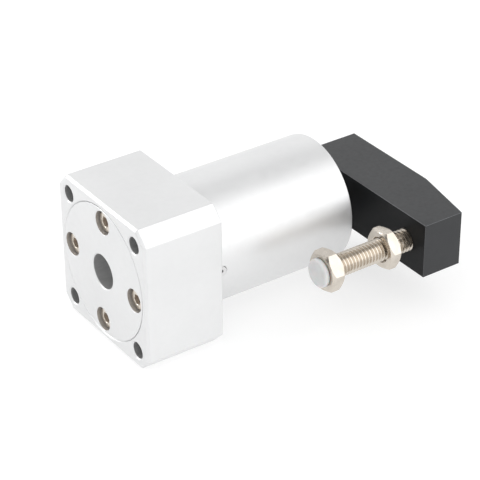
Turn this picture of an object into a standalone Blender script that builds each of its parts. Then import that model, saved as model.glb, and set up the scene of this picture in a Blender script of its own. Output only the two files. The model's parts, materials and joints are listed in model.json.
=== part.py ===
"""Rotary clamp cylinder lying on one side of its square base, with the rod axis along +X.

The clamp arm on the rod end points to -Y and its bolt points back past the barrel, as when the
cylinder is clamped. Lengths are in millimetres in the constants and become metres in the helpers.
Every length along the rod axis starts at the mounting face, and every radius at the rod axis.
"""

import math

import bmesh
import bpy
from mathutils import Matrix

MM = 0.001
TAU = 2 * math.pi

# Square base and round barrel, cut from one piece of aluminium.
BASE_SIDE = 40.0
BASE_LENGTH = 22.4
BASE_CORNER = 3.6
BASE_FRONT_BEVEL = 0.7
BASE_REAR_BEVEL = 0.25
BARREL_R = 17.05
BARREL_END = 65.0
BARREL_CHAMFER = 0.3
BORE_R = 12.5

# Mounting holes through the corners of the base, for M4.
MOUNT_HOLE_R = 2.2
MOUNT_HOLE_OFFSET = 15.15
MOUNT_HOLE_CHAMFER = 0.3

# Rear cover, set flush in the mounting face.
COVER_R = 18.15
COVER_THICK = 8.0
COVER_SEAM = 0.15
COVER_CENTRE_R = 4.65
COVER_CENTRE_DEPTH = 5.4
SPIGOT_R = 12.3
SPIGOT_END = 12.0
COVER_O_RING_GROOVE = (9.0, 11.0)
COVER_O_RING_SEAT_R = 10.6
SHAFT_POCKET_R = 5.2
SHAFT_POCKET_FLOOR = 7.6

# The cover's four M3 screws. The tapped holes are plain, and wider than the screws.
SCREW_CIRCLE_R = 14.5
SCREW_TURN = math.radians(3.4)
SCREW_HEAD = (0.9, 3.9)
SCREW_HEAD_R = 2.75
SCREW_R = 1.5
SCREW_END = 13.9
SCREW_SOCKET = 2.5
SCREW_HOLE_R = 1.75
SCREW_HOLE_END = 15.5
COUNTERBORE_R = 3.15
COUNTERBORE_DEPTH = 4.1

# The rod gland in the far end of the barrel, held by a snap ring.
GLAND_SEAT = 52.0
GLAND_SEAT_R = 14.65
GLAND_R = 14.45
GLAND_START = 52.2
GLAND_END = 62.5
GLAND_O_RING_GROOVE = (56.0, 57.8)
GLAND_O_RING_SEAT_R = 12.9
BUSH_POCKET = (GLAND_START, 57.9)
BUSH_POCKET_R = 7.6
SEAL_GROOVE = (58.6, 60.2)
SEAL_GROOVE_R = 8.2
WIPER_POCKET = 61.0
WIPER_POCKET_R = 8.5
WIPER_LIP_END = 63.4
SNAP_GROOVE = (62.7, 63.9)
SNAP_GROOVE_R = 15.45
SNAP_RING_INNER_R = 13.6
SNAP_EAR_R = 11.6
SNAP_EAR_HOLE_R = 0.6

# M5 air ports, on the face away from the arm.
PORT_X = 16.0
PORT_Z = 8.0
PORT_R = 2.1
PORT_DEPTH = 5.5
ORIFICE_R = 0.9
PASSAGE_R = 1.0
PASSAGE_Y = 12.4

# Stroke and swing, and the grooves and pins that make one follow the other.
STROKE = 13.0
SWING = math.radians(90)
PIN_X = 24.2
PIN_R = 1.2
PIN_HOLE_R = 1.3
PIN_SPAN = (3.3, 13.9)
PLUG_R = 1.45
PLUG_HOLE_R = 1.6
PLUG_SPAN = (14.3, 16.6)
PLUG_SEAT_R = 14.1
PLUG_SOCKET = 1.5
GROOVE_FLOOR_R = 3.05
GROOVE_HALF_WIDTH = 1.65
GROOVE_BEYOND = 1.75
GROOVE_STEPS = 12

# The ring in the bore that carries the pins, with holes for the air.
RING = (21.8, 30.2)
RING_AIR_R = 1.3
RING_AIR_CIRCLE_R = 8.6

# Guide shaft, piston and rod.
SHAFT_R = 4.65
SHAFT_START = 8.0
SHAFT_SHOULDER = 30.4
STUD_START = 38.6
STUD_END = 48.0
STUD_R = 2.6
PISTON = (31.2, 38.0)
PISTON_R = 12.3
PISTON_SEAT_R = 3.35
PISTON_BORE_R = 3.5
PISTON_SEAL_GROOVE = (32.9, 35.3)
PISTON_SEAL_SEAT_R = 10.0
PISTON_WEAR_GROOVE = (35.9, 37.2)
PISTON_WEAR_SEAT_R = 11.2
PISTON_O_RING_GROOVE = (33.6, 35.1)
PISTON_O_RING_SEAT_R = 4.75
BUMPER_DEPTH = 0.9
BUMPER_POCKET = (6.6, 9.2)
THRUST_WASHER_R = 6.0
THRUST_WASHER_THICK = 0.4
ROD_R = 6.0
ROD_START = 38.8
ROD_SHOULDER = 70.6
ROD_NOSE_R = 4.4
ROD_NOSE_END = 77.5
ROD_SCREW_HOLE = (69.3, 2.2)
ROD_STUD_HOLE_R = 2.8

# Clamp arm: a flat bar that tapers on its outer side towards the tip.
ARM_INNER = 70.8
ARM_OUTER = 86.3
ARM_TIP_OUTER = 82.65
ARM_ROOT_Y = 10.15
ARM_KNEE_Y = -20.5
ARM_TIP_Y = -38.95
ARM_HALF_WIDTH = 7.6
ARM_EDGE = 0.5
ARM_NOSE_HOLE_R = 4.6
ARM_WEB = (77.7, 80.4)
ARM_WEB_HOLE_R = 2.25
ARM_COUNTERBORE_R = 4.3
KEY = (71.6, 77.0)
KEY_HALF_WIDTH = 1.25
KEY_HEIGHT = (3.2, 5.6)
KEYWAY_GAP = 0.2

# The M4 screw and the washer that hold the arm.
ARM_WASHER = (80.6, 81.5)
ARM_WASHER_R = 3.9
ARM_SCREW_HEAD = (81.7, 85.7)
ARM_SCREW_HEAD_R = 3.5
ARM_SCREW_R = 2.0
ARM_SCREW_START = 70.9
ARM_SCREW_SOCKET = 3.0

# Clamp bolt M6 with its lock nut and plastic pad.
BOLT_Y = -31.45
BOLT_R = 3.0
BOLT_CLEARANCE = 0.2
BOLT_END = 81.5
BOLT_HEAD = (44.0, 47.85)
LOCK_NUT = (62.3, 65.5)
HEX_FLATS = 9.8
HEX_TURN = math.radians(51)
HEX_CORNER_DROP = 0.45
PAD_FACE = 42.45
PAD_BACK = 43.8
PAD_R = 3.8
PAD_STEM_R = 1.25
PAD_STEM_END = 46.1
PAD_HOLE_R = 1.45
PAD_HOLE_END = 46.4

# Facets round a full circle.
FINE = 56
ROUND = 24
SMALL = 12

# The bounding box's bottom centre is the origin, so the mounting face's centre is here.
FACE_CENTRE = (-ARM_OUTER / 2, -(ARM_TIP_Y + BASE_SIDE / 2) / 2, BASE_SIDE / 2)

# Turning a profile's own Z onto each direction of the model.
TOWARDS = {
    "+X": (0, math.pi / 2, 0),
    "+Y": (-math.pi / 2, 0, 0),
    "-Y": (math.pi / 2, 0, 0),
}

COLOURS = {
    "anodised": ((0.78, 0.78, 0.78), 0.42, 1.0),
    "aluminium": ((0.66, 0.66, 0.68), 0.35, 1.0),
    "steel": ((0.55, 0.55, 0.56), 0.25, 1.0),
    "nickel": ((0.62, 0.57, 0.50), 0.22, 1.0),
    "black_arm": ((0.035, 0.035, 0.038), 0.45, 0.6),
    "rubber": ((0.02, 0.02, 0.02), 0.70, 0.0),
    "polyurethane": ((0.10, 0.16, 0.30), 0.50, 0.0),
    "plastic": ((0.74, 0.74, 0.75), 0.40, 0.0),
    "bronze": ((0.60, 0.40, 0.18), 0.35, 1.0),
}


# ---------------------------------------------------------------- helpers


def clear_scene():
    for obj in list(bpy.data.objects):
        bpy.data.objects.remove(obj, do_unlink=True)


def new_collection(name, parent=None):
    collection = bpy.data.collections.new(name)
    (parent or bpy.context.scene.collection).children.link(collection)
    return collection


def paint(obj, finish):
    """Gives the object its own Principled BSDF in one of the finishes above."""
    colour, roughness, metallic = COLOURS[finish]
    material = bpy.data.materials.new(obj.name)
    material.use_nodes = True
    shader = material.node_tree.nodes["Principled BSDF"]
    shader.inputs["Base Color"].default_value = (*colour, 1)
    shader.inputs["Roughness"].default_value = roughness
    shader.inputs["Metallic"].default_value = metallic
    obj.data.materials.clear()
    obj.data.materials.append(material)


def place(data, name, at, towards, collection):
    """Links a mesh or a curve as an object at (x, y, z), measured from the mounting face's centre."""
    obj = bpy.data.objects.new(name, data)
    collection.objects.link(obj)
    obj.parent = FRAME
    obj.location = [value * MM for value in at]
    obj.rotation_euler = TOWARDS.get(towards, (0, 0, 0))
    return obj


def mesh_from(bm, name):
    mesh = bpy.data.meshes.new(name)
    bmesh.ops.recalc_face_normals(bm, faces=bm.faces)
    bm.to_mesh(mesh)
    bm.free()
    return mesh


def turned(name, profile, finish=None, at=(0, 0, 0), towards="+X", segments=ROUND, ring=False):
    """A turned solid. profile is (distance, radius) pairs that follow the outside outwards along
    the axis; a ring's profile then comes back along its inside and closes."""
    points = [(radius * MM, 0, along * MM) for along, radius in reversed(profile)]
    edges = [(i, i + 1) for i in range(len(points) - 1)]
    if ring:
        edges.append((len(points) - 1, 0))
    mesh = bpy.data.meshes.new(name)
    mesh.from_pydata(points, edges, [])
    obj = place(mesh, name, at, towards, PARTS if finish else CUTTERS)
    screw = obj.modifiers.new("Turn", "SCREW")
    screw.axis = "Z"
    screw.angle = TAU
    screw.steps = segments
    screw.render_steps = segments
    screw.use_merge_vertices = True
    screw.merge_threshold = 1e-5
    return finish_off(obj, finish)


def finish_off(obj, finish):
    """Paints a part, or hides a cutter from renders."""
    if finish:
        paint(obj, finish)
    else:
        obj.hide_render = True
        obj.display_type = "WIRE"
    return obj


def tube(name, inner, outer, start, end, finish=None, **rest):
    """A plain ring or, with no inner radius, a plain cylinder."""
    if inner:
        profile = [(start, inner), (start, outer), (end, outer), (end, inner)]
        return turned(name, profile, finish, ring=True, **rest)
    profile = [(start, 0), (start, outer), (end, outer), (end, 0)]
    return turned(name, profile, finish, **rest)


def box(name, low, high, finish=None, turn=0.0):
    """A box between two corners, then turned about the rod axis."""
    bm = bmesh.new()
    bmesh.ops.create_cube(bm, size=1)
    size = [(b - a) * MM for a, b in zip(low, high)]
    middle = [(a + b) / 2 * MM for a, b in zip(low, high)]
    bmesh.ops.scale(bm, vec=size, verts=bm.verts)
    bmesh.ops.translate(bm, vec=middle, verts=bm.verts)
    bmesh.ops.rotate(bm, cent=(0, 0, 0), matrix=Matrix.Rotation(turn, 3, "X"), verts=bm.verts)
    obj = place(mesh_from(bm, name), name, (0, 0, 0), None, PARTS if finish else CUTTERS)
    return finish_off(obj, finish)


def hexagon(name, flats, start, end, finish=None, at=(0, 0, 0), towards="+X", turn=0.0):
    """A hexagonal prism, by its size across flats, turned about its own axis."""
    bm = bmesh.new()
    radius = flats / 2 / math.cos(math.pi / 6) * MM
    depth = (end - start) * MM
    bmesh.ops.create_cone(
        bm, cap_ends=True, segments=6, radius1=radius, radius2=radius, depth=depth
    )
    bmesh.ops.translate(bm, vec=(0, 0, (start + end) / 2 * MM), verts=bm.verts)
    bmesh.ops.rotate(bm, cent=(0, 0, 0), matrix=Matrix.Rotation(turn, 3, "Z"), verts=bm.verts)
    obj = place(mesh_from(bm, name), name, at, towards, PARTS if finish else CUTTERS)
    return finish_off(obj, finish)


def o_ring(name, radius, thickness, x, finish="rubber"):
    """A rubber ring round the rod axis: radius to the middle of its section."""
    bpy.ops.mesh.primitive_torus_add(
        major_segments=ROUND,
        minor_segments=6,
        major_radius=radius * MM,
        minor_radius=thickness / 2 * MM,
    )
    made = bpy.context.object
    mesh = made.data
    bpy.data.objects.remove(made)
    mesh.name = name
    return finish_off(place(mesh, name, (x, 0, 0), "+X", PARTS), finish)


def flat_plate(name, outlines, thickness, finish, at=(0, 0, 0), towards=None):
    """A flat piece from closed outlines, the first its edge and the rest its holes. It is a filled
    curve made into a mesh with welded caps, so that it can be cut."""
    curve = bpy.data.curves.new(name, "CURVE")
    curve.dimensions = "2D"
    curve.fill_mode = "BOTH"
    curve.extrude = thickness / 2 * MM
    for outline in outlines:
        spline = curve.splines.new("POLY")
        spline.points.add(len(outline) - 1)
        for point, (x, y) in zip(spline.points, outline):
            point.co = (x * MM, y * MM, 0, 1)
        spline.use_cyclic_u = True
    drawn = place(curve, name + "_outline", at, towards, PARTS)
    graph = bpy.context.evaluated_depsgraph_get()
    mesh = bpy.data.meshes.new_from_object(drawn.evaluated_get(graph))
    bpy.data.objects.remove(drawn)
    bm = bmesh.new()
    bm.from_mesh(mesh)
    bpy.data.meshes.remove(mesh)
    bmesh.ops.remove_doubles(bm, verts=bm.verts, dist=1e-6)
    return finish_off(place(mesh_from(bm, name), name, at, towards, PARTS), finish)


def boolean(obj, tool, operation):
    modifier = obj.modifiers.new(tool.name, "BOOLEAN")
    modifier.operation = operation
    modifier.solver = "EXACT"
    modifier.object = tool
    return obj


def cut(obj, *tools):
    for tool in tools:
        boolean(obj, tool, "DIFFERENCE")
    return obj


def smooth(obj, angle=35):
    """Shades round stretches smooth and keeps edges sharper than the angle."""
    obj.data.shade_smooth()
    if obj.data.polygons:
        obj.data.set_sharp_from_angle(angle=math.radians(angle))
    return obj


# ---------------------------------------------------------------- base and barrel


def octagon(half, corner):
    """A square of the given half side with its corners cut off."""
    inner = half - corner
    return [
        (half, inner),
        (inner, half),
        (-inner, half),
        (-half, inner),
        (-half, -inner),
        (-inner, -half),
        (inner, -half),
        (half, -inner),
    ]


def base_block():
    """The square base, lofted through outlines so that its front and rear edges are bevelled."""
    corner_shrink = 2 - math.sqrt(2)
    half = BASE_SIDE / 2
    sections = [
        (0, BASE_FRONT_BEVEL),
        (BASE_FRONT_BEVEL, 0),
        (BASE_LENGTH - BASE_REAR_BEVEL, 0),
        (BASE_LENGTH, BASE_REAR_BEVEL),
    ]
    bm = bmesh.new()
    rings = []
    for x, inset in sections:
        outline = octagon(half - inset, BASE_CORNER - inset * corner_shrink)
        rings.append([bm.verts.new((x * MM, y * MM, z * MM)) for y, z in outline])
    for near, far in zip(rings, rings[1:]):
        for i in range(len(near)):
            j = (i + 1) % len(near)
            bm.faces.new((near[i], near[j], far[j], far[i]))
    bm.faces.new(rings[0])
    bm.faces.new(rings[-1])
    mesh = mesh_from(bm, "barrel_body")
    return finish_off(place(mesh, "barrel_body", (0, 0, 0), None, PARTS), "anodised")


def screw_places():
    """(y, z) of the four cover screws."""
    turns = [SCREW_TURN + i * math.pi / 2 for i in range(4)]
    return [(-SCREW_CIRCLE_R * math.sin(t), SCREW_CIRCLE_R * math.cos(t)) for t in turns]


def corner_places():
    return [(y * MOUNT_HOLE_OFFSET, z * MOUNT_HOLE_OFFSET) for y in (-1, 1) for z in (-1, 1)]


def bore_cutter():
    return turned(
        "cut_bore",
        [
            (-1, 0),
            (-1, COVER_R + COVER_SEAM),
            (COVER_THICK + COVER_SEAM, COVER_R + COVER_SEAM),
            (COVER_THICK + COVER_SEAM, BORE_R),
            (GLAND_SEAT, BORE_R),
            (GLAND_SEAT, GLAND_SEAT_R),
            (SNAP_GROOVE[0], GLAND_SEAT_R),
            (SNAP_GROOVE[0], SNAP_GROOVE_R),
            (SNAP_GROOVE[1], SNAP_GROOVE_R),
            (SNAP_GROOVE[1], GLAND_SEAT_R),
            (BARREL_END + 1, GLAND_SEAT_R),
            (BARREL_END + 1, 0),
        ],
        segments=FINE,
    )


def mount_hole_cutter(index, y, z):
    """A through hole with a small chamfer at each mouth."""
    flare = MOUNT_HOLE_R + MOUNT_HOLE_CHAMFER + 1
    return turned(
        f"cut_mount_hole_{index}",
        [
            (-1, 0),
            (-1, flare),
            (MOUNT_HOLE_CHAMFER, MOUNT_HOLE_R),
            (BASE_LENGTH - MOUNT_HOLE_CHAMFER, MOUNT_HOLE_R),
            (BASE_LENGTH + 1, flare),
            (BASE_LENGTH + 1, 0),
        ],
        at=(0, y, z),
        segments=SMALL,
    )


def port_cutter(name, z, orifice_end):
    """A threaded port with a drilled orifice behind it, from the +Y face inwards."""
    face = BASE_SIDE / 2
    floor = face - PORT_DEPTH
    chamfer = 0.4
    return turned(
        name,
        [
            (orifice_end, 0),
            (orifice_end, ORIFICE_R),
            (floor - PORT_R + ORIFICE_R, ORIFICE_R),
            (floor, PORT_R),
            (face - chamfer, PORT_R),
            (face + 1, PORT_R + chamfer + 1),
            (face + 1, 0),
        ],
        at=(PORT_X, 0, z),
        towards="+Y",
        segments=SMALL,
    )


def pin_hole_cutter(index, towards):
    """The stepped hole through the barrel wall for a guide pin and its plug."""
    return turned(
        f"cut_pin_hole_{index}",
        [
            (BORE_R - 2, 0),
            (BORE_R - 2, PIN_HOLE_R),
            (PLUG_SEAT_R, PIN_HOLE_R),
            (PLUG_SEAT_R, PLUG_HOLE_R),
            (BARREL_R + 1, PLUG_HOLE_R),
            (BARREL_R + 1, 0),
        ],
        at=(PIN_X, 0, 0),
        towards=towards,
        segments=SMALL,
    )


def passage_cutter():
    """The drilled air way from the front port to the gland."""
    at = (0, PASSAGE_Y, -PORT_Z)
    return tube("cut_passage", 0, PASSAGE_R, PORT_X - 1.5, GLAND_SEAT + 1, at=at, segments=SMALL)


def barrel_body():
    body = base_block()
    barrel = turned(
        "join_barrel",
        [
            (BASE_LENGTH / 2, 0),
            (BASE_LENGTH / 2, BARREL_R),
            (BARREL_END - BARREL_CHAMFER, BARREL_R),
            (BARREL_END, BARREL_R - BARREL_CHAMFER),
            (BARREL_END, 0),
        ],
        segments=FINE,
    )
    boolean(body, barrel, "UNION")
    cut(body, bore_cutter())
    for index, (y, z) in enumerate(corner_places(), 1):
        cut(body, mount_hole_cutter(index, y, z))
    for index, (y, z) in enumerate(screw_places(), 1):
        name = f"cut_thread_{index}"
        start = COVER_THICK - 1
        cut(body, tube(name, 0, SCREW_HOLE_R, start, SCREW_HOLE_END, at=(0, y, z), segments=SMALL))
    for index, towards in enumerate(("-Y", "+Y"), 1):
        cut(body, pin_hole_cutter(index, towards))
    cut(body, port_cutter("cut_rear_port", PORT_Z, BORE_R / 2))
    cut(body, port_cutter("cut_front_port", -PORT_Z, PASSAGE_Y))
    cut(body, passage_cutter())


# ---------------------------------------------------------------- rear cover


def rear_cover():
    groove_start, groove_end = COVER_O_RING_GROOVE
    edge = 0.2
    cover = turned(
        "rear_cover",
        [
            (0, 0),
            (0, COVER_R - edge),
            (edge, COVER_R),
            (COVER_THICK, COVER_R),
            (COVER_THICK, SPIGOT_R),
            (groove_start, SPIGOT_R),
            (groove_start, COVER_O_RING_SEAT_R),
            (groove_end, COVER_O_RING_SEAT_R),
            (groove_end, SPIGOT_R),
            (SPIGOT_END, SPIGOT_R),
            (SPIGOT_END, SHAFT_POCKET_R),
            (SHAFT_POCKET_FLOOR, SHAFT_POCKET_R),
            (SHAFT_POCKET_FLOOR, 0),
        ],
        "anodised",
        segments=FINE,
    )
    cut(cover, tube("cut_cover_centre", 0, COVER_CENTRE_R, -1, COVER_CENTRE_DEPTH))
    for index, (y, z) in enumerate(screw_places(), 1):
        hole = turned(
            f"cut_counterbore_{index}",
            [
                (-1, 0),
                (-1, COUNTERBORE_R),
                (COUNTERBORE_DEPTH, COUNTERBORE_R),
                (COUNTERBORE_DEPTH, SCREW_HOLE_R),
                (COVER_THICK + 1, SCREW_HOLE_R),
                (COVER_THICK + 1, 0),
            ],
            at=(0, y, z),
            segments=ROUND,
        )
        cut(cover, hole)
    section = 1.5
    middle = (COVER_O_RING_SEAT_R + BORE_R) / 2
    o_ring("rear_cover_o_ring", middle, section, (groove_start + groove_end) / 2)


def cover_screw(index, y, z):
    """A socket cap screw with its head sunk in the cover."""
    name = f"cover_screw_{index}"
    top, under = SCREW_HEAD
    edge = 0.2
    screw = turned(
        name,
        [
            (top, 0),
            (top, SCREW_HEAD_R - edge),
            (top + edge, SCREW_HEAD_R),
            (under, SCREW_HEAD_R),
            (under, SCREW_R),
            (SCREW_END - edge, SCREW_R),
            (SCREW_END, SCREW_R - edge),
            (SCREW_END, 0),
        ],
        "steel",
        at=(0, y, z),
        segments=SMALL,
    )
    floor = (top + under) / 2
    cut(screw, hexagon(f"cut_{name}_socket", SCREW_SOCKET, top - 1, floor, at=(0, y, z)))


# ---------------------------------------------------------------- swing guide


def guide_ring():
    """The steel ring that carries the pins and the rear of the guide shaft; air passes its holes."""
    start, end = RING
    ring = tube("guide_ring", SHAFT_R + 0.25, PISTON_R, start, end, "steel")
    at = (PIN_X, 0, 0)
    reach = PISTON_R + 1
    cut(ring, tube("cut_ring_pins", 0, PIN_HOLE_R, -reach, reach, at=at, towards="+Y", segments=SMALL))
    for index in range(4):
        angle = math.pi / 4 + index * math.pi / 2
        at = (0, RING_AIR_CIRCLE_R * math.cos(angle), RING_AIR_CIRCLE_R * math.sin(angle))
        cut(ring, tube(f"cut_ring_air_{index + 1}", 0, RING_AIR_R, start - 1, end + 1, at=at, segments=16))


def guide_pin(index, towards):
    """A guide pin in the barrel wall, and the set screw that plugs its hole."""
    place_of = {"at": (PIN_X, 0, 0), "towards": towards, "segments": SMALL}
    tube(f"guide_pin_{index}", 0, PIN_R, *PIN_SPAN, "steel", **place_of)
    plug = tube(f"guide_pin_plug_{index}", 0, PLUG_R, *PLUG_SPAN, "steel", **place_of)
    end = PLUG_SPAN[1]
    name = f"cut_plug_socket_{index}"
    cut(plug, hexagon(name, PLUG_SOCKET, end - 1.2, end + 1, at=(PIN_X, 0, 0), towards=towards))


def groove_cutter(name, start_angle):
    """A slot that winds round the shaft by the swing while it runs back by the stroke. It ends a
    little beyond the pin at each end."""
    beyond = GROOVE_BEYOND / STROKE
    top = SHAFT_R + 1
    bm = bmesh.new()
    rings = []
    for i in range(GROOVE_STEPS + 1):
        share = -beyond + (1 + 2 * beyond) * i / GROOVE_STEPS
        x = PIN_X - share * STROKE
        angle = start_angle + share * SWING
        outward = (math.cos(angle), math.sin(angle))
        aside = (-math.sin(angle), math.cos(angle))
        ring = []
        for r, side in ((GROOVE_FLOOR_R, -1), (top, -1), (top, 1), (GROOVE_FLOOR_R, 1)):
            y = r * outward[0] + side * GROOVE_HALF_WIDTH * aside[0]
            z = r * outward[1] + side * GROOVE_HALF_WIDTH * aside[1]
            ring.append(bm.verts.new((x * MM, y * MM, z * MM)))
        rings.append(ring)
    for near, far in zip(rings, rings[1:]):
        for i in range(4):
            j = (i + 1) % 4
            bm.faces.new((near[i], near[j], far[j], far[i]))
    bm.faces.new(rings[0])
    bm.faces.new(rings[-1])
    return finish_off(place(mesh_from(bm, name), name, (0, 0, 0), None, CUTTERS), None)


def guide_shaft():
    """The rear of the rod: grooved, then reduced to carry the piston, then a stud for the rod."""
    edge = 0.3
    shaft = turned(
        "guide_shaft",
        [
            (SHAFT_START, 0),
            (SHAFT_START, SHAFT_R - edge),
            (SHAFT_START + edge, SHAFT_R),
            (SHAFT_SHOULDER, SHAFT_R),
            (SHAFT_SHOULDER, PISTON_SEAT_R),
            (STUD_START, PISTON_SEAT_R),
            (STUD_START, STUD_R),
            (STUD_END - edge, STUD_R),
            (STUD_END, STUD_R - edge),
            (STUD_END, 0),
        ],
        "steel",
    )
    cut(shaft, groove_cutter("cut_groove_1", math.pi), groove_cutter("cut_groove_2", 0))


# ---------------------------------------------------------------- piston


def piston():
    """The piston slides without turning, between two washers on the shaft that turns inside it."""
    start, end = PISTON
    edge = 0.3
    bumper_in, bumper_out = BUMPER_POCKET
    seal_start, seal_end = PISTON_SEAL_GROOVE
    wear_start, wear_end = PISTON_WEAR_GROOVE
    ring_start, ring_end = PISTON_O_RING_GROOVE
    turned(
        "piston",
        [
            (start, PISTON_BORE_R),
            (start, bumper_in),
            (start + BUMPER_DEPTH, bumper_in),
            (start + BUMPER_DEPTH, bumper_out),
            (start, bumper_out),
            (start, PISTON_R - edge),
            (start + edge, PISTON_R),
            (seal_start, PISTON_R),
            (seal_start, PISTON_SEAL_SEAT_R),
            (seal_end, PISTON_SEAL_SEAT_R),
            (seal_end, PISTON_R),
            (wear_start, PISTON_R),
            (wear_start, PISTON_WEAR_SEAT_R),
            (wear_end, PISTON_WEAR_SEAT_R),
            (wear_end, PISTON_R),
            (end - edge, PISTON_R),
            (end, PISTON_R - edge),
            (end, bumper_out),
            (end - BUMPER_DEPTH, bumper_out),
            (end - BUMPER_DEPTH, bumper_in),
            (end, bumper_in),
            (end, PISTON_BORE_R),
            (ring_end, PISTON_BORE_R),
            (ring_end, PISTON_O_RING_SEAT_R),
            (ring_start, PISTON_O_RING_SEAT_R),
            (ring_start, PISTON_BORE_R),
        ],
        "aluminium",
        ring=True,
    )


def piston_rings():
    """The piston's seals, wear ring and bumpers, and the washers either side of it."""
    start, end = PISTON
    gap = 0.2
    section = 1.1
    seat = (PISTON_SEAT_R + PISTON_O_RING_SEAT_R) / 2
    o_ring("piston_o_ring", seat, section, sum(PISTON_O_RING_GROOVE) / 2)
    seal_start, seal_end = (PISTON_SEAL_GROOVE[0] + gap, PISTON_SEAL_GROOVE[1] - gap)
    lip, lip_r = 0.4, PISTON_R + 0.05
    inner = PISTON_SEAL_SEAT_R + gap
    turned(
        "piston_seal",
        [
            (seal_start, inner),
            (seal_start, lip_r - 0.2),
            (seal_start + lip, lip_r),
            ((seal_start + seal_end) / 2, lip_r - 0.4),
            (seal_end - lip, lip_r),
            (seal_end, lip_r - 0.2),
            (seal_end, inner),
        ],
        "rubber",
        ring=True,
    )
    wear_start, wear_end = PISTON_WEAR_GROOVE
    inner = PISTON_WEAR_SEAT_R + gap
    tube("piston_wear_ring", inner, PISTON_R + 0.05, wear_start + gap, wear_end - gap, "plastic")
    inner, outer = (BUMPER_POCKET[0] + gap, BUMPER_POCKET[1] - gap)
    depth = BUMPER_DEPTH - gap
    proud = 0.6
    tube("piston_bumper_1", inner, outer, start - proud, start + depth, "polyurethane")
    tube("piston_bumper_2", inner, outer, end - depth, end + proud, "polyurethane")
    first = start - gap - THRUST_WASHER_THICK
    tube("thrust_washer_1", PISTON_BORE_R, THRUST_WASHER_R, first, start - gap, "bronze")
    last = end + gap + THRUST_WASHER_THICK
    tube("thrust_washer_2", PISTON_BORE_R, THRUST_WASHER_R, end + gap, last, "bronze")


def piston_rod():
    edge = 0.3
    hole_end, hole_r = ROD_SCREW_HOLE
    rod = turned(
        "piston_rod",
        [
            (STUD_END + 0.6, 0),
            (STUD_END + 0.6, ROD_STUD_HOLE_R),
            (ROD_START, ROD_STUD_HOLE_R),
            (ROD_START, ROD_R - edge),
            (ROD_START + edge, ROD_R),
            (ROD_SHOULDER, ROD_R),
            (ROD_SHOULDER, ROD_NOSE_R),
            (ROD_NOSE_END - edge, ROD_NOSE_R),
            (ROD_NOSE_END, ROD_NOSE_R - edge),
            (ROD_NOSE_END, hole_r),
            (hole_end, hole_r),
            (hole_end, 0),
        ],
        "steel",
    )
    half = KEY_HALF_WIDTH + KEYWAY_GAP
    floor = KEY_HEIGHT[0] - KEYWAY_GAP
    cut(rod, box("cut_rod_keyway", (KEY[0] - KEYWAY_GAP, -half, floor), (ROD_NOSE_END + 1, half, ROD_R)))


# ---------------------------------------------------------------- gland


def gland():
    """The rod gland, with pockets for the bush, the seal and the wiper."""
    edge = 0.3
    clear_r = ROD_R + 0.3
    body = turned(
        "gland",
        [
            (GLAND_START, BUSH_POCKET_R),
            (GLAND_START, GLAND_R - edge),
            (GLAND_START + edge, GLAND_R),
            (GLAND_O_RING_GROOVE[0], GLAND_R),
            (GLAND_O_RING_GROOVE[0], GLAND_O_RING_SEAT_R),
            (GLAND_O_RING_GROOVE[1], GLAND_O_RING_SEAT_R),
            (GLAND_O_RING_GROOVE[1], GLAND_R),
            (GLAND_END - edge, GLAND_R),
            (GLAND_END, GLAND_R - edge),
            (GLAND_END, WIPER_POCKET_R),
            (WIPER_POCKET, WIPER_POCKET_R),
            (WIPER_POCKET, clear_r),
            (SEAL_GROOVE[1], clear_r),
            (SEAL_GROOVE[1], SEAL_GROOVE_R),
            (SEAL_GROOVE[0], SEAL_GROOVE_R),
            (SEAL_GROOVE[0], clear_r),
            (BUSH_POCKET[1], clear_r),
            (BUSH_POCKET[1], BUSH_POCKET_R),
        ],
        "aluminium",
        ring=True,
    )
    towards_passage = math.atan2(-PORT_Z, PASSAGE_Y)
    slot = ((GLAND_START - 1, BUSH_POCKET_R + 1, -1.2), (GLAND_START + 1, GLAND_R - 0.6, 1.2))
    cut(body, box("cut_gland_air", *slot, turn=towards_passage))


def gland_rings():
    gap = 0.2
    rub = ROD_R + 0.1
    tube("rod_bush", rub, BUSH_POCKET_R - gap, BUSH_POCKET[0] + gap, BUSH_POCKET[1] - gap, "bronze")
    tube("rod_seal", rub, SEAL_GROOVE_R - gap, SEAL_GROOVE[0] + gap, SEAL_GROOVE[1] - gap, "polyurethane")
    start, lip_end = WIPER_POCKET + gap, WIPER_LIP_END
    outer = WIPER_POCKET_R - gap
    turned(
        "rod_wiper",
        [
            (start, ROD_R + 0.35),
            (start, outer),
            (lip_end - 0.6, outer),
            (lip_end, ROD_R + 0.4),
            (lip_end, rub),
            (lip_end - 1.0, ROD_R + 0.35),
        ],
        "polyurethane",
        ring=True,
    )
    section = 1.4
    middle = (GLAND_O_RING_SEAT_R + GLAND_SEAT_R) / 2
    o_ring("gland_o_ring", middle, section, sum(GLAND_O_RING_GROOVE) / 2)


def arc(radius, start, end, steps):
    """Points from one angle to the other, measured from the top towards +Y, in a +X part's plane."""
    angles = [start + (end - start) * i / steps for i in range(steps + 1)]
    return [(-radius * math.cos(a), radius * math.sin(a)) for a in angles]


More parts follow.
